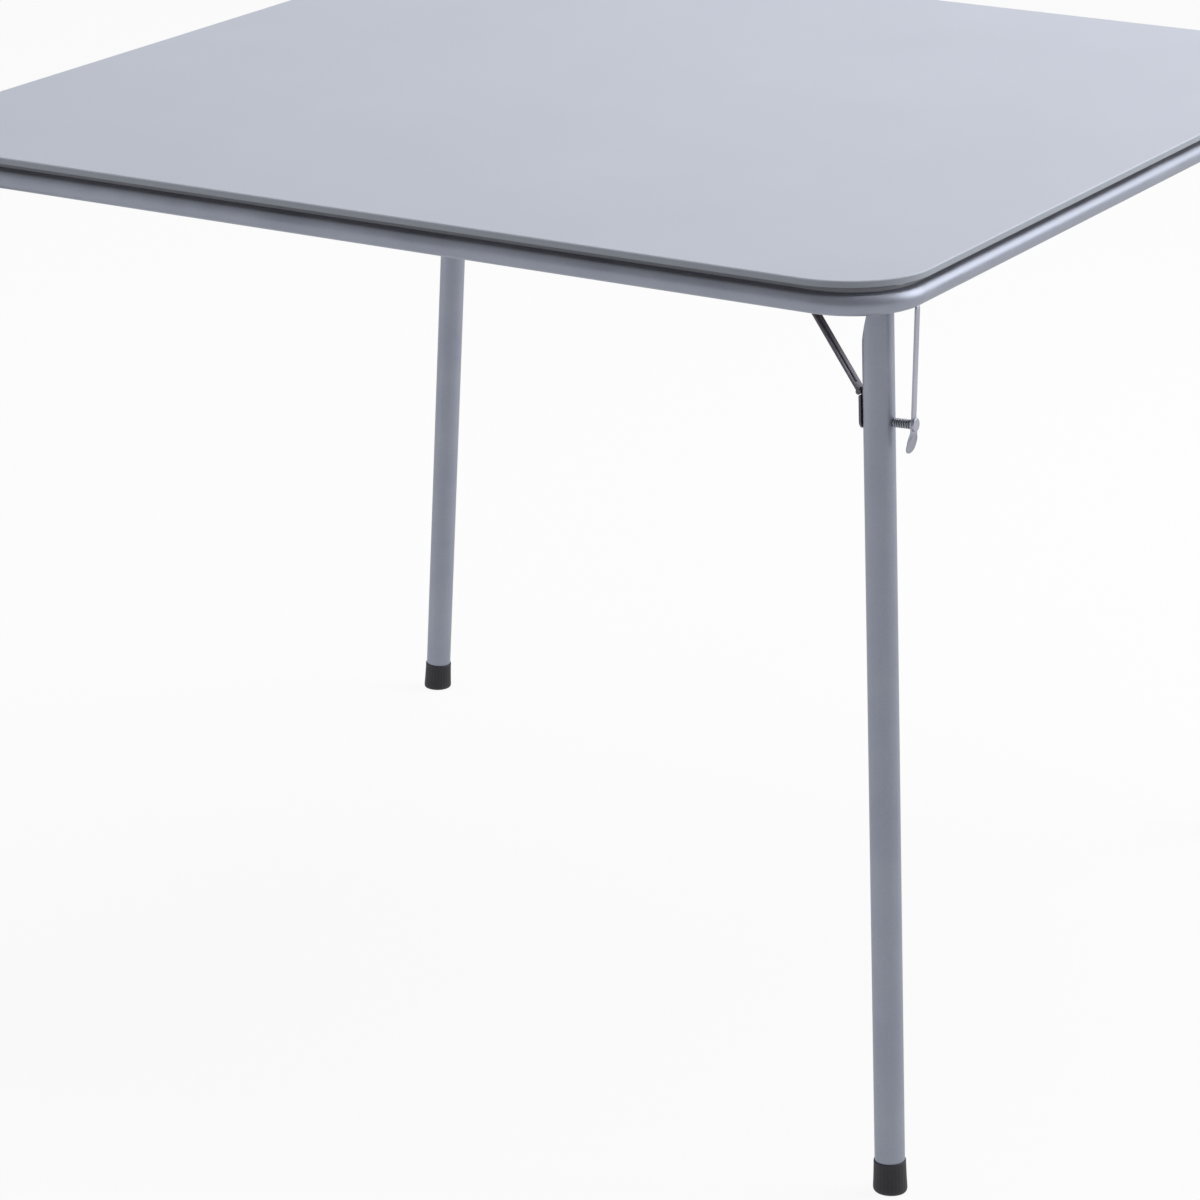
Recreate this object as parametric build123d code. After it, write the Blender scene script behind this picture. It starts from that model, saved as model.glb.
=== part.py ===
"""Folding card table: a thin covered board on a bent tube ring, with four folding legs.

Millimetres, +Z up. The origin is on the floor under the middle of the board.
Each corner is modelled once, at the front corner, and turned about Z for the others.
Leg pieces are modelled upright with the fold pivot at the origin, then leaned and placed.
In that upright frame +Y is the way the leg folds, X is the pivot axis and -Z is down the leg.
"""
import math
import os

from build123d import *

# Board
BOARD_SIDE = 864.0
BOARD_CORNER_RADIUS = 65.0
BOARD_THICKNESS = 4.8
COVER_THICKNESS = 0.6
COVER_EDGE_RADIUS = 1.0
TABLE_HEIGHT = 690.0

# Tube ring under the board
RING_TUBE_DIAMETER = 15.9
RING_WALL = 1.2
RING_INSET = 7.2
RING_CORNER_RADIUS = 50.0
RING_TO_BOARD_GAP = 4.4
RING_SLEEVE_LENGTH = 90.0
RING_SLEEVE_WALL = 1.0

# Packing strip between the board and the ring
PACKING_INSET = 2.5

# Ring tabs and their board screws, and the feet of tabs and brackets on the ring
TAB_WIDTH = 22.0
RING_FOOT_DEPTH = 7.0
TAB_REACH = 17.0
TAB_PLACE_SHARE = 0.17
SCREW_SHANK_RADIUS = 1.6
SCREW_LENGTH = 3.2
SCREW_HEAD_RADIUS = 3.6
SCREW_HEAD_HEIGHT = 1.5

# Leg tube
LEG_DIAMETER = 22.2
LEG_WALL = 1.2
LEG_SPLAY_DEGREES = 2.8
LEG_ALONG_EDGE = 64.0
LEG_PRESSED_LENGTH = 36.0
LEG_PRESSED_DEPTH = 10.7
LEG_TOP_ABOVE_PIVOT = 3.0
PIVOT_DEPTH = 27.5
PIVOT_TO_RING = 17.85
PIVOT_TO_LEG_AXIS = 4.5
PIVOT_PIN_RADIUS = 3.0
PIVOT_HEAD_RADIUS = 5.4
PIVOT_HEAD_HEIGHT = 1.6

# Running and resting clearances
RUNNING_CLEARANCE = 0.05
SIDE_CLEARANCE = 0.2
SEAT_CLEARANCE = 0.3

# Foot tip
TIP_WALL = 1.6
TIP_HEIGHT = 25.0
TIP_FLOOR_THICKNESS = 4.0
TIP_EDGE_CHAMFER = 1.2

# Leg bracket
BRACKET_THICKNESS = 1.5
EAR_WIDTH = 13.6
BASE_LENGTH = 61.0
BASE_SIDE_REACH = 15.0
BASE_CORNER_RADIUS = 6.0

# Side stay: a tab riveted to the leg, and a link hinged to it
STAY_WIDTH = 9.0
STAY_TAB_WIDTH = 12.0
STAY_THICKNESS = 1.6
STAY_RIB_WIDTH = 3.0
STAY_RIB_HEIGHT = 0.8
STAY_SLOPE_DEGREES = 53.9
STUD_BELOW_PIVOT = 83.2
KNUCKLE_ABOVE_STUD = 20.0
KNUCKLE_RADIUS = 2.0
KNUCKLE_PIN_RADIUS = 1.2

# Cross bar of the stay and its catch under the board
STAY_BAR_RADIUS = 2.0
STAY_BAR_LENGTH = 24.0
STAY_BAR_DEPTH = 9.2
CATCH_LIP_DEPTH = 3.4
CATCH_WIDTH = 30.0
CATCH_LENGTH = 34.0
CATCH_SLOT_LENGTH = 22.0
CATCH_SLOT_CLEARANCE = 1.0

# Stud through the leg, its spring and the release lever
STUD_RADIUS = 2.2
STUD_HEAD_RADIUS = 4.8
STUD_HEAD_HEIGHT = 1.3
LEVER_STANDOFF = 14.4
LEVER_WIDTH = 5.8
LEVER_THICKNESS = 1.5
LEVER_EYE_RADIUS = 4.8
LEVER_TOP_SET = 3.8
LEVER_TAIL_DROP = 20.8
LEVER_TAIL_SET = 4.2
LEVER_TAIL_RADIUS = 3.1
SPRING_WIRE_RADIUS = 0.45
SPRING_TURNS = 6
SPRING_WIRE_SIDES = 8

# Allowance for tools that cut right through a piece
OVERRUN = 5.0

CORNERS = (("front", 0), ("right", 90), ("back", 180), ("left", 270))

HALF_SIDE = BOARD_SIDE / 2
BOARD_BOTTOM = TABLE_HEIGHT - BOARD_THICKNESS
PLATE_BOTTOM = BOARD_BOTTOM - BRACKET_THICKNESS
RING_RADIUS = RING_TUBE_DIAMETER / 2
RING_SIDE = BOARD_SIDE - 2 * RING_INSET
RING_CENTRE_HEIGHT = BOARD_BOTTOM - RING_TO_BOARD_GAP - RING_RADIUS
RING_INNER_FACE = RING_INSET + RING_RADIUS
LEG_RADIUS = LEG_DIAMETER / 2
TIP_RADIUS = LEG_RADIUS + TIP_WALL
PIVOT_HEIGHT = TABLE_HEIGHT - PIVOT_DEPTH
PIVOT_X = LEG_ALONG_EDGE - HALF_SIDE
PIVOT_Y = RING_INNER_FACE + PIVOT_TO_RING - HALF_SIDE
EAR_INNER_FACE = LEG_RADIUS + SIDE_CLEARANCE
EAR_OUTER_FACE = EAR_INNER_FACE + BRACKET_THICKNESS
LEG_DROP = PIVOT_HEIGHT / math.cos(math.radians(LEG_SPLAY_DEGREES))
LEG_FACE_Y = PIVOT_TO_LEG_AXIS + LEG_RADIUS
KNUCKLE_Y = LEG_FACE_Y + 1.5 * STAY_THICKNESS + SIDE_CLEARANCE
KNUCKLE_Z = KNUCKLE_ABOVE_STUD - STUD_BELOW_PIVOT
LEVER_INNER_Y = PIVOT_TO_LEG_AXIS - LEG_RADIUS - LEVER_STANDOFF
LEVER_OUTER_Y = LEVER_INNER_Y - LEVER_THICKNESS


def cylinder_along_x(radius, length, y=0.0, z=0.0):
    """A cylinder on the X direction, centred on x = 0."""
    return Pos(0, y, z) * Rot(0, 90, 0) * Cylinder(radius, length)


def cylinder_along_y(radius, start_y, end_y, x=0.0, z=0.0):
    """A cylinder on the Y direction between two values of y."""
    middle = (start_y + end_y) / 2
    return Pos(x, middle, z) * Rot(90, 0, 0) * Cylinder(radius, abs(end_y - start_y))


def box_between(low, high):
    """A box from its lowest corner to its highest corner."""
    size = [b - a for a, b in zip(low, high)]
    centre = [(a + b) / 2 for a, b in zip(low, high)]
    return Pos(*centre) * Box(*size)


def rounded_plate(size_x, size_y, radius, bottom, top):
    """A flat plate with rounded corners, centred on the Z axis."""
    outline = RectangleRounded(size_x, size_y, radius)
    return Pos(0, 0, bottom) * extrude(outline, top - bottom)


def place_leg_piece(piece):
    """Lean an upright leg piece outwards and put its pivot at the front corner."""
    return Pos(PIVOT_X, PIVOT_Y, PIVOT_HEIGHT) * Rot(-LEG_SPLAY_DEGREES, 0, 0) * piece


def turn_to_corner(piece, degrees):
    """Turn a piece of the front corner about the middle of the table."""
    return Rot(0, 0, degrees) * piece


def screw_places():
    """Every screw into the board: first those of the ring tabs, then those of the plates."""
    tab_spots = []
    plate_spots = []
    for _, degrees in CORNERS:
        tab_spots += [(x, tab_screw_y(), degrees) for x in tab_places()]
        places = bracket_screw_places() + catch_screw_places()
        plate_spots += [(x, y, degrees) for x, y in places]
    return tab_spots, plate_spots


def board_pieces():
    """The fibreboard with its screw holes, and the cover over its top and round its rim."""
    outer = rounded_plate(BOARD_SIDE, BOARD_SIDE, BOARD_CORNER_RADIUS, BOARD_BOTTOM, TABLE_HEIGHT)
    outer = fillet(outer.edges().group_by(Axis.Z)[-1], COVER_EDGE_RADIUS)
    core_side = BOARD_SIDE - 2 * COVER_THICKNESS
    core_radius = BOARD_CORNER_RADIUS - COVER_THICKNESS
    core = rounded_plate(core_side, core_side, core_radius, BOARD_BOTTOM, TABLE_HEIGHT - COVER_THICKNESS)
    cover = outer - core
    tab_holes, plate_holes = screw_places()
    for x, y, degrees in tab_holes + plate_holes:
        hole = Pos(x, y, BOARD_BOTTOM + SCREW_LENGTH / 2) * Cylinder(SCREW_SHANK_RADIUS, SCREW_LENGTH)
        core -= turn_to_corner(hole, degrees)
    return core, cover


def ring_half():
    """Half of the tube ring: one whole side, two bends and two half sides."""
    half = RING_SIDE / 2
    points = [(-half, 0), (-half, -half), (half, -half), (half, 0)]
    path = FilletPolyline(*points, radius=RING_CORNER_RADIUS)
    start = Plane(origin=(-half, 0, 0), z_dir=(0, -1, 0))
    outer = sweep(start * Circle(RING_RADIUS), path)
    inner = sweep(start * Circle(RING_RADIUS - RING_WALL), path)
    expected = math.pi * RING_RADIUS ** 2 * path.length
    print("ring half volume over section times length:", round(outer.volume / expected, 4))
    return Pos(0, 0, RING_CENTRE_HEIGHT) * (outer - inner)


def packing_strip(brackets):
    """The strip that fills the gap from the ring's top line outwards, notched for the brackets."""
    bottom = BOARD_BOTTOM - RING_TO_BOARD_GAP
    outer_side = BOARD_SIDE - 2 * PACKING_INSET
    outer_radius = BOARD_CORNER_RADIUS - PACKING_INSET
    inner_radius = BOARD_CORNER_RADIUS - RING_INSET
    strip = rounded_plate(outer_side, outer_side, outer_radius, bottom, BOARD_BOTTOM)
    strip -= rounded_plate(RING_SIDE, RING_SIDE, inner_radius, bottom - OVERRUN, TABLE_HEIGHT)
    for bracket in brackets:
        strip -= bracket
    return strip


def ring_sleeve():
    """The short tube inside the ring where its two halves meet."""
    sleeve_radius = RING_RADIUS - RING_WALL
    tube = Cylinder(sleeve_radius, RING_SLEEVE_LENGTH)
    tube -= Cylinder(sleeve_radius - RING_SLEEVE_WALL, RING_SLEEVE_LENGTH + OVERRUN)
    return Pos(-RING_SIDE / 2, 0, RING_CENTRE_HEIGHT) * Rot(90, 0, 0) * tube


def screw(x, y, seat_height):
    """A countersunk board screw that points up, its head under the plate at seat_height."""
    shank = Cylinder(SCREW_SHANK_RADIUS, SCREW_LENGTH + BRACKET_THICKNESS)
    shank = Pos(0, 0, (SCREW_LENGTH + BRACKET_THICKNESS) / 2) * shank
    head = Pos(0, 0, -SCREW_HEAD_HEIGHT / 2) * Cylinder(SCREW_HEAD_RADIUS, SCREW_HEAD_HEIGHT)
    head = chamfer(head.edges().group_by(Axis.Z)[0], SCREW_HEAD_HEIGHT / 2)
    return Pos(x, y, seat_height) * (shank + head)


def tab_places():
    """The two tabs of one side, as places along X on the side at -Y."""
    return (-BOARD_SIDE * TAB_PLACE_SHARE, BOARD_SIDE * TAB_PLACE_SHARE)


def ring_foot(x):
    """The foot of a plate on the ring: a block under the plate, hollowed to sit on the round tube."""
    ring_y = RING_INSET - HALF_SIDE
    low = (x - TAB_WIDTH / 2, ring_y, RING_CENTRE_HEIGHT)
    foot = box_between(low, (x + TAB_WIDTH / 2, ring_y + RING_FOOT_DEPTH, PLATE_BOTTOM))
    return foot - cylinder_along_x(RING_RADIUS, BOARD_SIDE, ring_y, RING_CENTRE_HEIGHT)


def tab_screw_y():
    """The line of the tab screws, inside the ring."""
    return RING_INNER_FACE + TAB_REACH / 2 - HALF_SIDE


def ring_tab(x):
    """A tab that stands on the ring with its foot and carries one board screw."""
    inner_y = RING_INNER_FACE + TAB_REACH - HALF_SIDE
    outer_y = RING_INSET - HALF_SIDE
    low = (x - TAB_WIDTH / 2, outer_y, PLATE_BOTTOM)
    tab = box_between(low, (x + TAB_WIDTH / 2, inner_y, BOARD_BOTTOM))
    tab = fillet(tab.edges().filter_by(Axis.Z).group_by(Axis.Y)[-1], TAB_WIDTH / 4)
    hole = Pos(x, tab_screw_y(), BOARD_BOTTOM) * Cylinder(SCREW_SHANK_RADIUS, OVERRUN)
    return tab - hole + ring_foot(x)


def bracket_screw_places():
    """The screws of one leg bracket, in the front corner's own place."""
    near_y = PIVOT_Y - PIVOT_TO_RING - RING_RADIUS + BASE_LENGTH - 1.5 * BASE_CORNER_RADIUS
    side = EAR_OUTER_FACE + BASE_SIDE_REACH / 2
    return ((PIVOT_X - side, near_y), (PIVOT_X + side, near_y), (PIVOT_X + side, PIVOT_Y))


def leg_bracket():
    """The stamped clevis: a base plate under the board with two ears bent down round the leg."""
    half_width = EAR_OUTER_FACE + BASE_SIDE_REACH
    back_y = PIVOT_Y - PIVOT_TO_RING - RING_RADIUS
    low = (PIVOT_X - half_width, back_y, PLATE_BOTTOM)
    high = (PIVOT_X + half_width, back_y + BASE_LENGTH, BOARD_BOTTOM)
    bracket = box_between(low, high)
    bracket = fillet(bracket.edges().filter_by(Axis.Z), BASE_CORNER_RADIUS)
    ear_drop = PLATE_BOTTOM - PIVOT_HEIGHT
    ear = Pos(0, 0, ear_drop / 2) * Box(BRACKET_THICKNESS, EAR_WIDTH, ear_drop)
    ear += cylinder_along_x(EAR_WIDTH / 2, BRACKET_THICKNESS)
    for side in (-1, 1):
        middle = side * (EAR_INNER_FACE + BRACKET_THICKNESS / 2)
        bracket += Pos(PIVOT_X + middle, PIVOT_Y, PIVOT_HEIGHT) * ear
    bracket += ring_foot(PIVOT_X + TAB_WIDTH / 2)
    pin_hole = cylinder_along_x(PIVOT_PIN_RADIUS, 2 * EAR_OUTER_FACE + OVERRUN)
    bracket -= Pos(PIVOT_X, PIVOT_Y, PIVOT_HEIGHT) * pin_hole
    for x, y in bracket_screw_places():
        bracket -= Pos(x, y, BOARD_BOTTOM) * Cylinder(SCREW_SHANK_RADIUS, OVERRUN)
    return bracket


def pivot_rivet():
    """The rivet that the leg turns on, headed outside both ears."""
    rivet = cylinder_along_x(PIVOT_PIN_RADIUS, 2 * EAR_OUTER_FACE)
    for side in (-1, 1):
        head = Rot(0, side * 90, 0) * Pos(0, 0, EAR_OUTER_FACE + PIVOT_HEAD_HEIGHT / 2)
        head *= Cylinder(PIVOT_HEAD_RADIUS, PIVOT_HEAD_HEIGHT)
        outer_edge = head.edges().filter_by(GeomType.CIRCLE).sort_by(Axis.X)[-1 if side > 0 else 0]
        rivet += chamfer(outer_edge, PIVOT_HEAD_HEIGHT / 2)
    return Pos(PIVOT_X, PIVOT_Y, PIVOT_HEIGHT) * rivet


def pressed_half_space(offset):
    """A block that covers what the press leaves of the tube, its slanted face offset inwards."""
    slope = math.degrees(math.atan2(LEG_PRESSED_DEPTH, LEG_PRESSED_LENGTH))
    length = 2 * LEG_DROP
    block = box_between((-LEG_DIAMETER, -length, -length), (LEG_DIAMETER, -offset, length))
    knee_z = LEG_TOP_ABOVE_PIVOT - LEG_PRESSED_LENGTH
    return Pos(0, LEG_FACE_Y, knee_z) * Rot(slope, 0, 0) * block


def leg_tube():
    """The round leg, its top pressed flat in a slant on the folding side."""
    length = LEG_DROP + LEG_TOP_ABOVE_PIVOT - TIP_FLOOR_THICKNESS
    middle = LEG_TOP_ABOVE_PIVOT - length / 2
    outer = Pos(0, PIVOT_TO_LEG_AXIS, middle) * Cylinder(LEG_RADIUS, length)
    inner = Pos(0, PIVOT_TO_LEG_AXIS, middle) * Cylinder(LEG_RADIUS - LEG_WALL, length + OVERRUN)
    tube = (outer & pressed_half_space(0)) - (inner & pressed_half_space(LEG_WALL))
    tube -= cylinder_along_x(PIVOT_PIN_RADIUS + RUNNING_CLEARANCE, LEG_DIAMETER + OVERRUN)
    tube -= cylinder_along_y(STUD_RADIUS, LEVER_INNER_Y, KNUCKLE_Y, z=-STUD_BELOW_PIVOT)
    return tube


def foot_tip():
    """The rubber tip, a cup over the end of the tube, cut level with the floor."""
    top = TIP_HEIGHT - LEG_DROP
    bottom = -LEG_DROP - OVERRUN
    tip = Pos(0, PIVOT_TO_LEG_AXIS, (top + bottom) / 2) * Cylinder(TIP_RADIUS, top - bottom)
    tip = chamfer(tip.edges().group_by(Axis.Z)[-1], TIP_WALL / 2)
    socket_bottom = TIP_FLOOR_THICKNESS - LEG_DROP
    socket = Cylinder(LEG_RADIUS, top - socket_bottom + OVERRUN)
    tip -= Pos(0, PIVOT_TO_LEG_AXIS, (top + socket_bottom + OVERRUN) / 2) * socket
    placed = place_leg_piece(tip)
    floor_block = box_between((-BOARD_SIDE, -BOARD_SIDE, -TIP_HEIGHT), (BOARD_SIDE, BOARD_SIDE, 0))
    placed -= floor_block
    return chamfer(placed.edges().group_by(Axis.Z)[0], TIP_EDGE_CHAMFER)


def stay_tab():
    """The strip riveted to the leg, with a round foot and the middle knuckle at its top."""
    inner_y = LEG_FACE_Y
    outer_y = LEG_FACE_Y + STAY_THICKNESS
    half = STAY_TAB_WIDTH / 2
    low = (-half, inner_y, -STUD_BELOW_PIVOT)
    tab = box_between(low, (half, outer_y, KNUCKLE_Z - KNUCKLE_RADIUS - SIDE_CLEARANCE))
    tab += cylinder_along_y(half, inner_y, outer_y, z=-STUD_BELOW_PIVOT)
    third = STAY_WIDTH / 3
    low = (-third / 2, inner_y + SEAT_CLEARANCE, KNUCKLE_Z - KNUCKLE_RADIUS - SIDE_CLEARANCE)
    tab += box_between(low, (third / 2, outer_y + SEAT_CLEARANCE, KNUCKLE_Z))
    tab += cylinder_along_x(KNUCKLE_RADIUS, third, KNUCKLE_Y, KNUCKLE_Z)
    tab -= cylinder_along_x(KNUCKLE_PIN_RADIUS, STAY_WIDTH, KNUCKLE_Y, KNUCKLE_Z)
    tab -= cylinder_along_y(STUD_RADIUS, inner_y - OVERRUN, outer_y + OVERRUN, z=-STUD_BELOW_PIVOT)
    return tab


def knuckle_pin():
    """The small pin of the stay's hinge."""
    return cylinder_along_x(KNUCKLE_PIN_RADIUS, STAY_WIDTH, KNUCKLE_Y, KNUCKLE_Z)


def stay_link_length():
    """From the knuckle up the slope to the cross bar, close under the board."""
    lean = math.radians(LEG_SPLAY_DEGREES)
    knuckle_height = PIVOT_HEIGHT + KNUCKLE_Z * math.cos(lean) - KNUCKLE_Y * math.sin(lean)
    rise = TABLE_HEIGHT - STAY_BAR_DEPTH - knuckle_height
    return rise / math.sin(math.radians(STAY_SLOPE_DEGREES))


def stay_link():
    """The sloping strip: two outer knuckles, a pressed rib along it and a cross bar on top."""
    length = stay_link_length()
    third = STAY_WIDTH / 3
    half = STAY_THICKNESS / 2
    start = KNUCKLE_RADIUS + SIDE_CLEARANCE
    link = box_between((-STAY_WIDTH / 2, start, -half), (STAY_WIDTH / 2, length, half))
    rib_start = start + STAY_WIDTH / 2
    rib_end = length - STAY_WIDTH / 2
    rib_half = STAY_RIB_WIDTH / 2
    rib = box_between((-rib_half, rib_start, 0), (rib_half, rib_end, half + STAY_RIB_HEIGHT))
    rib = fillet(rib.edges().filter_by(Axis.Z), rib_half - RUNNING_CLEARANCE)
    link += chamfer(rib.edges().group_by(Axis.Z)[-1], STAY_RIB_HEIGHT / 2)
    for side in (-1, 1):
        middle = side * third
        width = third - 2 * RUNNING_CLEARANCE
        low = (middle - width / 2, 0, -half)
        knuckle = Pos(middle, 0, 0) * cylinder_along_x(KNUCKLE_RADIUS, width)
        link += knuckle + box_between(low, (middle + width / 2, start, half))
    link += cylinder_along_x(STAY_BAR_RADIUS, STAY_BAR_LENGTH, length)
    link -= cylinder_along_x(KNUCKLE_PIN_RADIUS + RUNNING_CLEARANCE, STAY_WIDTH + OVERRUN)
    tilt = STAY_SLOPE_DEGREES + LEG_SPLAY_DEGREES
    return Pos(0, KNUCKLE_Y, KNUCKLE_Z) * Rot(tilt, 0, 0) * link


def stay_bar_place():
    """Where the stay's cross bar lies at rest, in the front corner's own place."""
    lean = math.radians(LEG_SPLAY_DEGREES)
    slope = math.radians(STAY_SLOPE_DEGREES)
    knuckle_y = PIVOT_Y + KNUCKLE_Y * math.cos(lean) + KNUCKLE_Z * math.sin(lean)
    return knuckle_y + stay_link_length() * math.cos(slope), TABLE_HEIGHT - STAY_BAR_DEPTH


def catch_screw_places():
    """The two screws of the catch, on the side away from the lip."""
    bar_y = stay_bar_place()[0]
    reach = CATCH_WIDTH / 2 - SCREW_HEAD_RADIUS - SIDE_CLEARANCE
    back_y = bar_y - STAY_BAR_RADIUS - CATCH_LENGTH + BASE_CORNER_RADIUS
    return ((PIVOT_X - reach, back_y), (PIVOT_X + reach, back_y))


def stay_catch():
    """The catch under the board: a plate whose bent lip stops the stay's cross bar."""
    bar_y, bar_z = stay_bar_place()
    lip_front = bar_y - STAY_BAR_RADIUS - SEAT_CLEARANCE
    lip_back = lip_front - BRACKET_THICKNESS
    low = (PIVOT_X - CATCH_WIDTH / 2, lip_front - CATCH_LENGTH, PLATE_BOTTOM)
    plate = box_between(low, (PIVOT_X + CATCH_WIDTH / 2, lip_front, BOARD_BOTTOM))
    plate = fillet(plate.edges().filter_by(Axis.Z).group_by(Axis.Y)[0], BASE_CORNER_RADIUS)
    low = (PIVOT_X - CATCH_WIDTH / 2, lip_back, PLATE_BOTTOM - CATCH_LIP_DEPTH)
    lip = box_between(low, (PIVOT_X + CATCH_WIDTH / 2, lip_front, PLATE_BOTTOM))
    catch = plate + lip
    slot_half = STAY_WIDTH / 2 + CATCH_SLOT_CLEARANCE
    low = (PIVOT_X - slot_half, lip_front - CATCH_SLOT_LENGTH, low[2] - OVERRUN)
    catch -= box_between(low, (PIVOT_X + slot_half, lip_front + OVERRUN, BOARD_BOTTOM + OVERRUN))
    for x, y in catch_screw_places():
        catch -= Pos(x, y, BOARD_BOTTOM) * Cylinder(SCREW_SHANK_RADIUS, OVERRUN)
    return catch


def cross_stud():
    """The stud through tab, leg, spring and lever, riveted flush in the tab and headed outside."""
    tab_face = LEG_FACE_Y + STAY_THICKNESS
    head_inner = LEVER_OUTER_Y - SIDE_CLEARANCE
    depth = -STUD_BELOW_PIVOT
    stud = cylinder_along_y(STUD_RADIUS, head_inner, tab_face, z=depth)
    head = cylinder_along_y(STUD_HEAD_RADIUS, head_inner - STUD_HEAD_HEIGHT, head_inner, z=depth)
    head = fillet(head.edges().group_by(Axis.Y)[0], STUD_HEAD_HEIGHT / 2)
    return stud + head


def latch_spring():
    """The coil round the stud, which presses the lever against the stud's head."""
    radius = STUD_RADIUS + SPRING_WIRE_RADIUS + 4 * RUNNING_CLEARANCE
    room = LEVER_STANDOFF - 2 * (SPRING_WIRE_RADIUS + SEAT_CLEARANCE)
    pitch = room / SPRING_TURNS
    print("spring gap between turns:", round(pitch - 2 * SPRING_WIRE_RADIUS, 2))
    helix = Helix(pitch=pitch, height=room, radius=radius)
    start_plane = Plane(origin=helix @ 0, z_dir=helix % 0)
    section = start_plane * RegularPolygon(SPRING_WIRE_RADIUS, SPRING_WIRE_SIDES)
    coil = sweep(section, helix, is_frenet=True)
    start = PIVOT_TO_LEG_AXIS - LEG_RADIUS - SPRING_WIRE_RADIUS - SEAT_CLEARANCE
    return Pos(0, start, -STUD_BELOW_PIVOT) * Rot(90, 0, 0) * coil


def lever_top():
    """How far above the stud the lever ends, just under the ring."""
    lean = math.radians(LEG_SPLAY_DEGREES)
    ring_bottom = RING_CENTRE_HEIGHT - RING_RADIUS
    outermost = LEVER_OUTER_Y - LEVER_TOP_SET
    rise = ring_bottom - SEAT_CLEARANCE - PIVOT_HEIGHT + outermost * math.sin(lean)
    return STUD_BELOW_PIVOT + rise / math.cos(lean)


def lever_side():
    """The lever seen from its edge: the arm leans out to the ring, the tail is set in to the leg."""
    bends = [
        (LEVER_TAIL_SET, -LEVER_TAIL_DROP),
        (0, -LEVER_EYE_RADIUS),
        (0, LEVER_EYE_RADIUS),
        (-LEVER_TOP_SET, lever_top()),
    ]
    inner = [(LEVER_INNER_Y + y, z) for y, z in bends]
    outer = [(LEVER_OUTER_Y + y, z) for y, z in bends]
    return Plane.YZ * make_face(Polyline(*inner, *outer[::-1], close=True))


def release_lever():
    """The flat lever on the stud: a long arm up to the ring, an eye and a tapered finger tail."""
    half = LEVER_WIDTH / 2
    end = LEVER_TAIL_RADIUS - LEVER_TAIL_DROP
    eye = Circle(LEVER_EYE_RADIUS)
    tail_end = Pos(0, end) * Circle(LEVER_TAIL_RADIUS)
    outline = make_hull(eye.edges() + tail_end.edges())
    outline += Pos(0, lever_top() / 2) * Rectangle(LEVER_WIDTH, lever_top())
    pattern = Rot(90, 0, 0) * extrude(outline, BOARD_SIDE, both=True)
    side = extrude(lever_side(), LEVER_WIDTH + LEVER_EYE_RADIUS, both=True)
    lever = side & pattern
    lever = fillet(lever.edges().filter_by(Axis.Y).group_by(Axis.Z)[-1], half / 2)
    lever -= cylinder_along_y(STUD_RADIUS + RUNNING_CLEARANCE, LEVER_OUTER_Y, LEVER_INNER_Y)
    return Pos(0, 0, -STUD_BELOW_PIVOT) * lever


def save(shape, node):
    """Write one node's STEP file."""
    export_step(shape, f"parts/{node}.step")


def main():
    """Build every node once and write its STEP file."""
    os.makedirs("parts", exist_ok=True)
    core, cover = board_pieces()
    save(core, "board_core")
    save(cover, "board_cover")
    half = ring_half()
    save(half, "ring_half_front")
    save(turn_to_corner(half, 180), "ring_half_back")
    sleeve = ring_sleeve()
    save(Compound([sleeve, turn_to_corner(sleeve, 180)]), "ring_sleeves")

    tab_spots, plate_spots = screw_places()
    tabs = [turn_to_corner(ring_tab(x), degrees) for x, _, degrees in tab_spots]
    tab_screws = [turn_to_corner(screw(x, y, PLATE_BOTTOM), degrees) for x, y, degrees in tab_spots]
    plate_screws = [turn_to_corner(screw(x, y, PLATE_BOTTOM), degrees) for x, y, degrees in plate_spots]
    save(Compound(tabs), "ring_tabs")
    save(Compound(tab_screws), "tab_screws")
    save(Compound(plate_screws), "plate_screws")

    corner_pieces = {
        "leg_bracket": leg_bracket(),
        "pivot_rivet": pivot_rivet(),
        "stay_catch": stay_catch(),
        "leg_tube": place_leg_piece(leg_tube()),
        "foot_tip": foot_tip(),
        "stay_tab": place_leg_piece(stay_tab()),
        "knuckle_pin": place_leg_piece(knuckle_pin()),
        "stay_link": place_leg_piece(stay_link()),
        "cross_stud": place_leg_piece(cross_stud()),
        "latch_spring": place_leg_piece(latch_spring()),
        "release_lever": place_leg_piece(release_lever()),
    }
    brackets = [turn_to_corner(corner_pieces["leg_bracket"], degrees) for _, degrees in CORNERS]
    save(packing_strip(brackets), "packing_strip")
    for name, degrees in CORNERS:
        for piece_name, piece in corner_pieces.items():
            save(turn_to_corner(piece, degrees), f"{piece_name}_{name}")


main()
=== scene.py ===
import math

import bpy
import numpy as np
from mathutils import Matrix, Vector


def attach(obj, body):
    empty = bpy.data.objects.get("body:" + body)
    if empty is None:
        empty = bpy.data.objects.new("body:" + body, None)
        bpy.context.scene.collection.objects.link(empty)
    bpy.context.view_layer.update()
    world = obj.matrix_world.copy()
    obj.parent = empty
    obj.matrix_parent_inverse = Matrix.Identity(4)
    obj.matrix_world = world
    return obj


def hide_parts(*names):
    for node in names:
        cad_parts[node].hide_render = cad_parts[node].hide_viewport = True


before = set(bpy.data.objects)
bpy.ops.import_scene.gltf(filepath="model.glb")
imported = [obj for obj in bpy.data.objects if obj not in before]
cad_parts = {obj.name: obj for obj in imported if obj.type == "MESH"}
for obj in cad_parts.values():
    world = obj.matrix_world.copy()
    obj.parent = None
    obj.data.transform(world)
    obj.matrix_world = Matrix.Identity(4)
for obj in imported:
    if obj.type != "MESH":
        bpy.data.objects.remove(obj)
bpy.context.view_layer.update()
scene = bpy.context.scene

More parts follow.
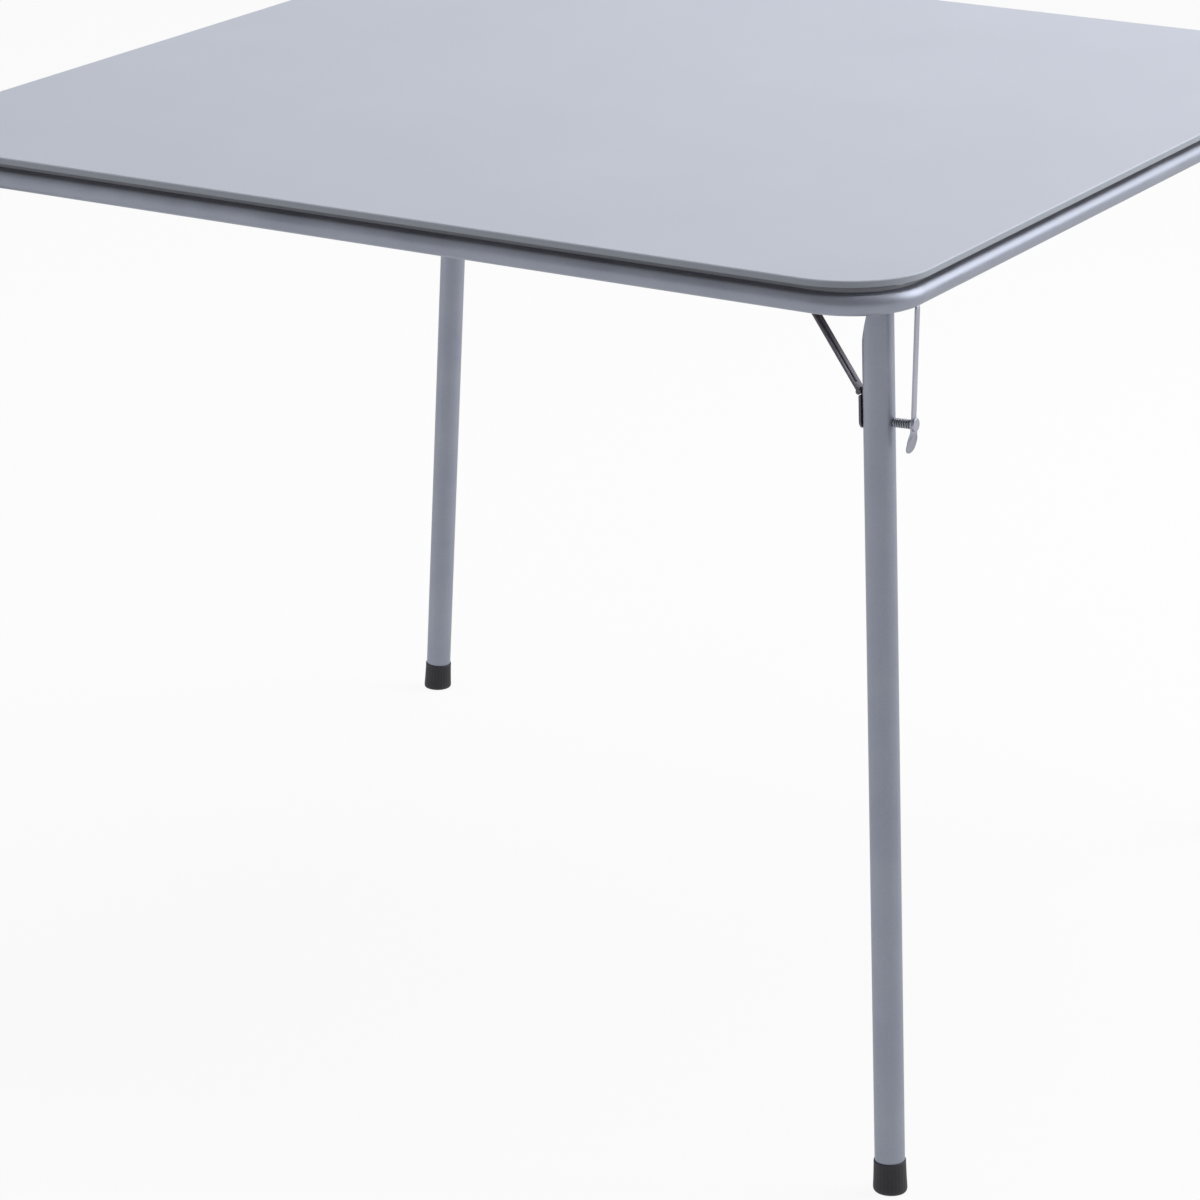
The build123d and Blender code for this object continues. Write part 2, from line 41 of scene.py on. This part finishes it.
# Places and sizes in metres, repeated from the solids. A leg's own frame has the pivot at 0, z up the
# leg and y square to the side that it stands on, so the stud and the lever lie on its -y side.
PIVOT = np.array([-0.368, -0.399, 0.6625])       # the front corner's leg pivot, in the table's frame
LEAN = math.radians(2.8)                         # the legs' outward lean
CORNERS = (("front", 0), ("right", 90), ("back", 180), ("left", 270))
HALF_SIDE = 0.432                                # half the board's side
BOARD_BOTTOM = 0.6852
RING_INSET = 0.0072                              # the ring's centre line, from the board's edge
RING_CORNER = 0.050                              # the centre line's corner radius
RING_HEIGHT = 0.67285                            # the centre line's height
RING_RADIUS = 0.00795
LEG_AXIS_Y = 0.0045                              # the tube's axis in the leg's frame
LEG_RADIUS = 0.0111
TIP_HEIGHT = 0.025
TIP_RADIUS = 0.0126
STUD_DROP = 0.0832                               # the stud's axis, below the pivot
LEVER_Y = -0.02175                               # the lever's middle plane
COIL_ROOM = 0.0144                               # the leg's face to the lever

# Sizes of what the solids leave plain.
COIL_WIRE = 0.00048                              # the wire's radius
COIL_RADIUS = 0.0029
COIL_TURNS = 8
BEAD_HALF_WIDTH = 0.0012
BEAD_HALF_HEIGHT = 0.0023
TIP_RIBS = 28
RIB_DEPTH = 0.00012                              # half the way from a rib's crest to its valley
LEVER_BORE = 0.0024                              # the bore's radius
LEVER_HALF_THICKNESS = 0.00075
TAIL_TURN = math.radians(32)
TAIL_DISH = 0.0011                               # the dish's depth across a tail of half width TAIL_HALF
TAIL_HALF = 0.0036
SEAM_RADIUS = 0.0001
FLOOR_HALF = 14.0
FLOOR_HEIGHT = -0.0005
LAMP_AIM = Vector((0, 0, 0.6))


# ---- materials

def linear(hex_colour):
    """sRGB hex to linear light: c / 12.92 up to 0.04045, above it ((c + 0.055) / 1.055) ** 2.4."""
    srgb = np.array([int(hex_colour[i:i + 2], 16) for i in (1, 3, 5)]) / 255
    light = np.where(srgb <= 0.04045, srgb / 12.92, ((srgb + 0.055) / 1.055) ** 2.4)
    return (*light.tolist(), 1.0)


def add(tree, kind, settings=None, links=None):
    """Adds one node; settings and links are keyed by property, input name or input number."""
    node = tree.nodes.new("ShaderNode" + kind)
    for key, value in (settings or {}).items():
        if isinstance(key, int) or key in node.inputs:
            node.inputs[key].default_value = value
        else:
            setattr(node, key, value)
    for key, (source, output) in (links or {}).items():
        tree.links.new(source.outputs[output], node.inputs[key])
    return node


def new_tree(name):
    """An empty node material and its tree."""
    material = bpy.data.materials.new(name)
    material.use_nodes = True
    material.node_tree.nodes.clear()
    return material, material.node_tree


def finish_material(tree, shader):
    """Links the shader to the output."""
    add(tree, "OutputMaterial", links={"Surface": (shader, 0)})


# Colour sockets of a Mix node: A and B go in, RESULT comes out.
A, B, RESULT = 6, 7, 2


def vinyl_leathercloth():
    """Calendered PVC cloth glued over the board: even satin blue-grey, with painted shade that darkens the
    side rim.
    """
    material, tree = new_tree("vinyl_leathercloth")
    place = add(tree, "TexCoord")
    # The backing cloth shows through as clouds about 120 mm across.
    clouds = add(tree, "TexNoise", {"Scale": 8.0, "Detail": 2.0}, {"Vector": (place, "Object")})
    # Embossed pebble of 0.8 mm, drawn at 2 mm, because finer doesn't show at this distance.
    pebble = add(tree, "TexVoronoi", {"Scale": 500.0, "feature": "SMOOTH_F1"}, {"Vector": (place, "Object")})
    tone = add(tree, "Mix", {"data_type": "RGBA", A: linear("#C0C5D2"), B: linear("#C6CBD8")},
               {"Factor": (clouds, "Fac")})
    # Painted shade: the side rim is painted darker from 0.6 to 1.1 mm under the board's top, at 0.690, for
    # the shade on a face turned sideways.
    height = add(tree, "SeparateXYZ", links={"Vector": (place, "Object")})
    rim = add(tree, "MapRange", {"From Min": 0.6894, "From Max": 0.6889}, {"Value": (height, "Z")})
    tone = add(tree, "Mix", {"data_type": "RGBA", B: linear("#A0A6B0")},
               {"Factor": (rim, "Result"), A: (tone, RESULT)})
    dull = add(tree, "MapRange", {"To Min": 0.6, "To Max": 0.7}, {"Value": (clouds, "Fac")})
    bump = add(tree, "Bump", {"Strength": 0.06, "Distance": 0.0002}, {"Height": (pebble, "Distance")})
    shader = add(tree, "BsdfPrincipled", {"IOR": 1.52, "Sheen Weight": 0.05},
                 {"Base Color": (tone, RESULT), "Roughness": (dull, "Result"), "Normal": (bump, "Normal")})
    finish_material(tree, shader)
    return material


def tempered_hardboard():
    """Pressed wood fibre, oiled and heated: dark brown, with short pale fibres lying every way."""
    material, tree = new_tree("tempered_hardboard")
    place = add(tree, "TexCoord")
    # Fibre bundles are 3 to 8 mm long and under 1 mm wide.
    fibres = add(tree, "TexNoise", {"Scale": 300.0, "Detail": 6.0, "Distortion": 2.0},
                 {"Vector": (place, "Object")})
    patches = add(tree, "TexNoise", {"Scale": 14.0, "Detail": 3.0}, {"Vector": (place, "Object")})
    grain = add(tree, "Mix", {"data_type": "RGBA", A: linear("#4A3426"), B: linear("#7A5B41")},
                {"Factor": (fibres, "Fac")})
    tone = add(tree, "Mix", {"data_type": "RGBA", "blend_type": "MULTIPLY", "Factor": 0.35},
               {A: (grain, RESULT), B: (patches, "Color")})
    bump = add(tree, "Bump", {"Strength": 0.25, "Distance": 0.0003}, {"Height": (fibres, "Fac")})
    shader = add(tree, "BsdfPrincipled", {"Roughness": 0.72, "IOR": 1.5},
                 {"Base Color": (tone, RESULT), "Normal": (bump, "Normal")})
    finish_material(tree, shader)
    return material


def metal(name, dark, light, roughness, flake, streaks=(1.0, 1.0, 1.0), metallic=1.0):
    """A metal or metal-flake finish: two tones in a noise of flake metres, roughness that follows it and
    a low bump. Streaks scales the noise along each axis: under 1 draws it out."""
    material, tree = new_tree(name)
    place = add(tree, "TexCoord")
    stretch = add(tree, "Mapping", {"Scale": streaks}, {"Vector": (place, "Object")})
    grit = add(tree, "TexNoise", {"Scale": 1 / flake, "Detail": 3.0}, {"Vector": (stretch, "Vector")})
    cloud = add(tree, "TexNoise", {"Scale": 22.0, "Detail": 3.0}, {"Vector": (place, "Object")})
    both = add(tree, "Math", {"operation": "MULTIPLY_ADD", 1: 0.5}, {0: (grit, "Fac"), 2: (cloud, "Fac")})
    share = add(tree, "MapRange", {"From Min": 0.45, "From Max": 1.05}, {"Value": (both, 0)})
    tone = add(tree, "Mix", {"data_type": "RGBA", A: linear(dark), B: linear(light)},
               {"Factor": (share, "Result")})
    dull = add(tree, "MapRange", {"To Min": roughness * 0.85, "To Max": roughness * 1.2},
               {"Value": (share, "Result")})
    bump = add(tree, "Bump", {"Strength": 0.1, "Distance": 0.0002}, {"Height": (grit, "Fac")})
    shader = add(tree, "BsdfPrincipled", {"Metallic": metallic},
                 {"Base Color": (tone, RESULT), "Roughness": (dull, "Result"), "Normal": (bump, "Normal")})
    finish_material(tree, shader)
    return material


def moulded_rubber(name, dark, light, rubbed_tone):
    """Moulded rubber: dull, mottled with dust, paler where it is rubbed."""
    material, tree = new_tree(name)
    place = add(tree, "TexCoord")
    dust = add(tree, "TexNoise", {"Scale": 160.0, "Detail": 5.0}, {"Vector": (place, "Object")})
    # Pointiness is high on outer edges, where the rubber is rubbed.
    edge = add(tree, "NewGeometry")
    rubbed = add(tree, "MapRange", {"From Min": 0.5, "From Max": 0.62}, {"Value": (edge, "Pointiness")})
    tone = add(tree, "Mix", {"data_type": "RGBA", A: linear(dark), B: linear(light)},
               {"Factor": (dust, "Fac")})
    worn = add(tree, "Mix", {"data_type": "RGBA", B: linear(rubbed_tone)},
               {"Factor": (rubbed, "Result"), A: (tone, RESULT)})
    bump = add(tree, "Bump", {"Strength": 0.2, "Distance": 0.0002}, {"Height": (dust, "Fac")})
    shader = add(tree, "BsdfPrincipled", {"Roughness": 0.62, "IOR": 1.52},
                 {"Base Color": (worn, RESULT), "Normal": (bump, "Normal")})
    finish_material(tree, shader)
    return material


VINYL = vinyl_leathercloth()
HARDBOARD = tempered_hardboard()
# Blue-black foot tips, the darkest thing on the table.
RUBBER = moulded_rubber("black_moulded_rubber", "#17151C", "#27252E", "#44434D")
# Pale grey packing filling the slot under the rim: its tone is painted shade, set so that the slot reads as
# a soft dark line, never a black one.
SLOT_SHADE_PACKING = moulded_rubber("grey_packing_slot_shade", "#80828A", "#8E9098", "#9A9CA4")
# Baked silver enamel: aluminium flake in clear lacquer over steel, satin, soft highlights.
SILVER_ENAMEL = metal("silver_baked_enamel", "#8C919F", "#9EA3B0", 0.42, 0.0012, metallic=0.7)
# Cold-rolled strip, blued dark, with the marks of rolling drawn out along the height.
BLUED_STRIP = metal("blued_cold_rolled_strip", "#504D56", "#716E78", 0.46, 0.0008,
                    streaks=(1.0, 1.0, 0.12), metallic=0.6)
# Nickel-plated stamping: pale, even, soft-edged reflections.
NICKEL = metal("nickel_plated_stamping", "#989BA6", "#B2B5BF", 0.38, 0.0012)
# Zinc plating on pressed steel: cool grey and cloudy.
ZINC = metal("zinc_plated_pressed_steel", "#83868E", "#A9ACB3", 0.34, 0.002)
# Drawn spring wire: clean bright steel, finely marked.
WIRE = metal("bright_spring_wire", "#8F919A", "#AEB0B8", 0.36, 0.0006)

FINISHES = {
    "board_cover": VINYL, "board_core": HARDBOARD, "ring": SILVER_ENAMEL, "leg_tube": SILVER_ENAMEL,
    "foot_tip": RUBBER, "stay": BLUED_STRIP, "release_lever": NICKEL, "cross_stud": NICKEL,
    "knuckle_pin": BLUED_STRIP, "latch_spring": WIRE, "leg_bracket": ZINC, "pivot_rivet": ZINC,
    "stay_catch": ZINC, "tab_screws": ZINC, "plate_screws": ZINC, "ring_tabs": ZINC,
    "packing_strip": SLOT_SHADE_PACKING,
}


def node_finish(name):
    """The finish of a CAD node, by the longest name that it starts with."""
    keys = [key for key in FINISHES if name.startswith(key)]
    return FINISHES[max(keys, key=len)]


for name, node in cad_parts.items():
    if node.type == "MESH":
        node.data.materials.clear()
        node.data.materials.append(node_finish(name))


# ---- surfaces

def grid_faces(rows, columns, close_rows=False):
    """Quads of a grid of points: each row closes on itself, and the last row may join the first."""
    i, j = np.meshgrid(np.arange(rows if close_rows else rows - 1), np.arange(columns), indexing="ij")
    i2, j2 = (i + 1) % rows, (j + 1) % columns
    quads = np.stack([i * columns + j, i * columns + j2, i2 * columns + j2, i2 * columns + j], axis=-1)
    return quads.reshape(-1, 4)


def capped(rows, columns):
    """Faces of a tube grid, turned over, with a flat cap at each end."""
    faces = grid_faces(rows, columns)[:, ::-1].tolist()
    faces.append(list(range(columns)))
    faces.append(list(range((rows - 1) * columns, rows * columns))[::-1])
    return faces


def mesh_piece(name, points, faces, material, body):
    """A new piece from faces and from points in the table's frame, riding on a body."""
    mesh = bpy.data.meshes.new(name)
    mesh.from_pydata(points.reshape(-1, 3).tolist(), [], [list(map(int, face)) for face in faces])
    mesh.polygons.foreach_set("use_smooth", np.ones(len(mesh.polygons), dtype=bool))
    mesh.materials.append(material)
    piece = bpy.data.objects.new(name, mesh)
    scene.collection.objects.link(piece)
    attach(piece, body)
    return piece


def at_corner(points, degrees):
    """Points of a leg's own frame, leaned outwards, moved to the front pivot and turned to a corner."""
    c, s = math.cos(LEAN), math.sin(LEAN)
    lean = np.array([[1, 0, 0], [0, c, s], [0, -s, c]])
    placed = points @ lean.T + PIVOT
    c, s = math.cos(math.radians(degrees)), math.sin(math.radians(degrees))
    return placed @ np.array([[c, -s, 0], [s, c, 0], [0, 0, 1]]).T


def tube_along(path, radius, sides):
    """A round wire: radius times (cos v, sin v) in the plane square to the path at each of its points.
    The path never runs along y."""
    ahead = np.gradient(path, axis=0)
    ahead /= np.linalg.norm(ahead, axis=1, keepdims=True)
    side = np.cross(ahead, (0.0, 1.0, 0.0))
    side /= np.linalg.norm(side, axis=1, keepdims=True)
    other = np.cross(side, ahead)
    v = np.linspace(0, 2 * np.pi, sides, endpoint=False)[None, :, None]
    rim = side[:, None, :] * np.cos(v) + other[:, None, :] * np.sin(v)
    return path[:, None, :] + radius * rim


def latch_coil(name, degrees):
    """The spring: a helix of radius COIL_RADIUS round the stud. Its rise is three quarters of t and a
    quarter of the smoothstep of t, which closes the end turns a little."""
    t = np.linspace(0, 1, 24 * COIL_TURNS)
    turn = 2 * np.pi * COIL_TURNS * t
    rise = 0.75 * t + 0.25 * t * t * (3 - 2 * t)
    # The end turns stand off the leg and the lever by a fifth of the wire's radius.
    end = 1.2 * COIL_WIRE
    y = LEG_AXIS_Y - LEG_RADIUS - end - (COIL_ROOM - 2 * end) * rise
    path = np.stack([COIL_RADIUS * np.cos(turn), y, COIL_RADIUS * np.sin(turn) - STUD_DROP], axis=1)
    points = tube_along(path, COIL_WIRE, 10)
    piece = mesh_piece("latch_coil_" + name, at_corner(points.reshape(-1, 3), degrees),
                       capped(*points.shape[:2]), WIRE, "leg_" + name)
    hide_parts("latch_spring_" + name)


def ring_line():
    """Points on the ring's centre line and the outward directions there: four arcs of a quarter turn."""
    centre = HALF_SIDE - RING_INSET - RING_CORNER
    angle = np.linspace(0, np.pi / 2, 17)[None, :] + np.pi / 2 * np.arange(4)[:, None]
    out = np.stack([np.cos(angle), np.sin(angle)], axis=-1)
    signs = np.array([[1, 1], [-1, 1], [-1, -1], [1, -1]])[:, None, :]
    return (signs * centre + RING_CORNER * out).reshape(-1, 2), out.reshape(-1, 2)


def packing_bead():
    """The packing pressed between board and ring: an oval section, squared by the power 0.6 of cosine
    and sine, carried round on the crest of the ring and ending flush with the board's bottom."""
    line, out = ring_line()
    t = np.linspace(0, 2 * np.pi, 12, endpoint=False)
    across = BEAD_HALF_WIDTH * np.sign(np.cos(t)) * np.abs(np.cos(t)) ** 0.6
    rise = BEAD_HALF_HEIGHT * np.sign(np.sin(t)) * np.abs(np.sin(t)) ** 0.6
    flat = line[:, None, :] + out[:, None, :] * across[None, :, None]
    height = np.broadcast_to(BOARD_BOTTOM - BEAD_HALF_HEIGHT + rise, flat.shape[:2])
    points = np.concatenate([flat, height[..., None]], axis=-1)
    faces = grid_faces(*flat.shape[:2], close_rows=True)[:, ::-1]
    # The bead's pale grey is painted shade for the slot under the rim.
    piece = mesh_piece("packing_bead", points, faces, SLOT_SHADE_PACKING, "table_top")
    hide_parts("packing_strip")


def foot_tip(name, degrees):
    """A rubber cup: radius over height s is a bore, a lip, a slow flare and a rounded foot, with low
    ribs in cosine; its height runs from the level floor at s = 0 to a rim square to the leg at s = 1."""
    # Shares of the height, the radius and the ribs' depth, from the bore's floor round to the foot.
    profile = np.array([
        [0.13, 0.04, 0], [0.13, 0.5, 0], [0.13, 0.885, 0], [0.995, 0.885, 0], [1.0, 0.905, 0],
        [0.985, 0.935, 0], [0.93, 0.945, 0], [0.86, 0.945, 0.5], [0.7, 0.953, 1], [0.5, 0.965, 1],
        [0.3, 0.982, 1], [0.18, 0.995, 0.6], [0.1, 1.0, 0], [0.05, 0.985, 0], [0.015, 0.945, 0],
        [0.0, 0.88, 0], [0.0, 0.5, 0], [0.0, 0.04, 0],
    ])
    s, reach, rib = profile.T[..., None]
    v = np.linspace(0, 2 * np.pi, 6 * TIP_RIBS, endpoint=False)
    radius = TIP_RADIUS * reach + RIB_DEPTH * rib * (np.cos(TIP_RIBS * v) - 1)
    x = radius * np.cos(v)
    y = radius * np.sin(v) + LEG_AXIS_Y
    floor = (y * math.sin(LEAN) - PIVOT[2]) / math.cos(LEAN)
    top = TIP_HEIGHT - PIVOT[2] / math.cos(LEAN)
    points = np.stack([x, y, top * s + floor * (1 - s)], axis=-1)
    piece = mesh_piece("rubber_tip_" + name, at_corner(points.reshape(-1, 3), degrees),
                       capped(*points.shape[:2]), RUBBER, "leg_" + name)
    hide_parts("foot_tip_" + name)


def lever_piece(name, degrees):
    """The lever: rays from the stud's bore to the outline on both faces, joined round the edge and
    through the bore. Height sets the middle line's offset; below the stud a smoothstep of it turns the
    tail by TAIL_TURN and dishes it by a parabola across its width."""
    # Height above the stud, half width, offset along the stud, all in mm.
    rows = np.array([
        [83.8, 1.5, -3.8], [83.5, 2.2, -3.78], [82.8, 2.7, -3.75], [81.6, 2.9, -3.69], [68.0, 2.9, -3.03],
        [52.0, 2.9, -2.26], [36.0, 2.9, -1.5], [20.0, 2.9, -0.73], [10.0, 2.9, -0.25], [6.0, 2.9, -0.06],
        [4.5, 3.0, 0.0], [3.8, 3.3, 0.0], [3.2, 3.8, 0.0], [2.2, 4.4, 0.0], [0.9, 4.75, 0.0],
        [-0.9, 4.75, 0.0], [-2.6, 4.5, 0.0], [-4.4, 4.25, 0.0], [-6.0, 4.05, 0.35], [-7.6, 3.9, 0.75],
        [-9.2, 3.8, 1.15], [-10.8, 3.7, 1.55], [-12.4, 3.6, 1.95], [-14.0, 3.5, 2.35], [-15.4, 3.4, 2.7],
        [-16.8, 3.25, 3.1], [-18.0, 2.95, 3.4], [-19.0, 2.5, 3.7], [-19.8, 1.95, 3.95], [-20.4, 1.3, 4.1],
        [-20.7, 0.7, 4.2],
    ])
    z, half, offset = (rows[::-1] * 0.001).T
    side = np.stack([half, z], axis=1)
    rim = np.concatenate([side, (side * (-1, 1))[::-1]])
    # Both faces end 0.3 mm inside the rim, and the rim is 0.55 of the thickness: a rounded edge.
    inner = rim * 0.995 - np.sign(rim) * (0.0003, 0)
    angle = np.arctan2(inner[:, 1], inner[:, 0])
    bore = LEVER_BORE * np.stack([np.cos(angle), np.sin(angle)], axis=1)
    steps = 14
    face = bore + (inner - bore) * np.linspace(0, 1, steps)[:, None, None]
    flat = np.concatenate([face, rim[None], rim[None], face[::-1]])
    thickness_share = np.concatenate([np.ones(steps), [0.55, -0.55], -np.ones(steps)])[:, None]
    x, level = flat[..., 0], flat[..., 1]
    width = np.interp(level, z, half)
    share = np.clip((-level - 0.004) / 0.009, 0, 1)
    share = share * share * (3 - 2 * share)
    dish = TAIL_DISH * share * (0.4 - np.clip(x / width, -1, 1) ** 2) * (width / TAIL_HALF) ** 2
    y = LEVER_HALF_THICKNESS * thickness_share + dish
    turn = TAIL_TURN * share
    middle = LEVER_Y + np.interp(level, z, offset)
    points = np.stack([x * np.cos(turn) + y * np.sin(turn), middle - x * np.sin(turn) + y * np.cos(turn),
                       level - STUD_DROP], axis=-1).reshape(-1, 3)
    piece = mesh_piece("lever_" + name, at_corner(points, degrees),
                       grid_faces(*flat.shape[:2], close_rows=True), NICKEL, "lever_" + name)
    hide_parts("release_lever_" + name)


def ring_seam(name, side):
    """The hairline where two ring halves butt: a torus of radii RING_RADIUS and SEAM_RADIUS, square to
    the tube."""
    u, v = np.meshgrid(np.linspace(0, 2 * np.pi, 48, endpoint=False),
                       np.linspace(0, 2 * np.pi, 6, endpoint=False), indexing="ij")
    out = RING_RADIUS + SEAM_RADIUS * np.cos(v)
    points = np.stack([side * (HALF_SIDE - RING_INSET) + out * np.cos(u), SEAM_RADIUS * np.sin(v),
                       RING_HEIGHT + out * np.sin(u)], axis=-1)
    mesh_piece("ring_seam_" + name, points, grid_faces(*u.shape, close_rows=True), WIRE, "table_top")


for corner, degrees in CORNERS:
    latch_coil(corner, degrees)
    foot_tip(corner, degrees)
    lever_piece(corner, degrees)
packing_bead()
ring_seam("left", -1)
ring_seam("right", 1)


# ---- floor, light and camera

def studio_floor():
    """A pale floor, mostly white light to the eye and in reflections, with the rest as paper, which keeps
    a faint shadow."""
    material, tree = new_tree("studio_floor_paper")
    rays = add(tree, "LightPath")
    seen = add(tree, "Math", {"operation": "MAXIMUM"},
               {0: (rays, "Is Camera Ray"), 1: (rays, "Is Glossy Ray")})
    part = add(tree, "Math", {"operation": "MULTIPLY", 1: 0.92}, {0: (seen, 0)})
    paper = add(tree, "BsdfDiffuse", {"Color": linear("#E9E9EA")})
    white = add(tree, "Emission", {"Color": linear("#FFFFFF"), "Strength": 1.0})
    mixed = add(tree, "MixShader", links={0: (part, 0), 1: (paper, 0), 2: (white, 0)})
    finish_material(tree, mixed)
    corners = [(x * FLOOR_HALF, y * FLOOR_HALF, FLOOR_HEIGHT)
               for x, y in ((-1, -1), (1, -1), (1, 1), (-1, 1))]
    mesh = bpy.data.meshes.new("studio_floor")
    mesh.from_pydata(corners, [], [[0, 1, 2, 3]])
    mesh.materials.append(material)
    floor = bpy.data.objects.new("studio_floor", mesh)
    scene.collection.objects.link(floor)


def studio_world():
    """A soft even surround: nearly white to the eye, far dimmer as light and in reflections, so that round
    metal shades."""
    world = bpy.data.worlds.new("soft_studio")
    scene.world = world
    world.use_nodes = True
    tree = world.node_tree
    tree.nodes.clear()
    rays = add(tree, "LightPath")
    eye = add(tree, "Math", {"operation": "MAXIMUM"},
              {0: (rays, "Is Camera Ray"), 1: (rays, "Is Transmission Ray")})
    mirror = add(tree, "MapRange", {"To Min": 0.34, "To Max": 0.4}, {"Value": (rays, "Is Glossy Ray")})
    strength = add(tree, "MapRange", {"To Max": 0.955}, {"Value": (eye, 0), "To Min": (mirror, "Result")})
    sky = add(tree, "Background", {"Color": linear("#FFFFFF")}, {"Strength": (strength, "Result")})
    add(tree, "OutputWorld", links={"Surface": (sky, 0)})


def softbox(name, place, size, watts):
    """A square soft lamp at place, facing LAMP_AIM."""
    lamp = bpy.data.lights.new(name, "AREA")
    lamp.shape = "SQUARE"
    lamp.size = size
    lamp.energy = watts
    holder = bpy.data.objects.new(name, lamp)
    scene.collection.objects.link(holder)
    holder.location = place
    holder.rotation_euler = (LAMP_AIM - Vector(place)).to_track_quat("-Z", "Y").to_euler()


def photo_camera():
    """The photograph's camera, fitted to the board's edges and the legs; the photograph is a crop."""
    forward = Vector((0.784659, 0.480299, -0.391948))
    up = Vector((0.335926, 0.201952, 0.919983))
    right = forward.cross(up).normalized()
    up = right.cross(forward).normalized()
    turn = Matrix((right, up, -forward)).transposed()
    lens = bpy.data.cameras.new("photo_camera")
    lens.sensor_width = 36.0
    lens.lens = 134.82
    lens.shift_x = 0.0813
    lens.shift_y = 0.2668
    lens.clip_end = 60.0
    holder = bpy.data.objects.new("photo_camera", lens)
    holder.matrix_world = Matrix.Translation((-3.02941, -1.72407, 1.470594)) @ turn.to_4x4()
    scene.collection.objects.link(holder)
    scene.camera = holder


studio_floor()
studio_world()
softbox("key_from_the_right", (2.4, -2.7, 2.4), 3.0, 116.0)
softbox("fill_from_the_left", (-2.2, 3.6, 1.3), 1.6, 22.0)
softbox("soft_overhead", (1.1, -0.2, 3.6), 2.6, 44.0)
photo_camera()
scene.view_settings.view_transform = "Standard"
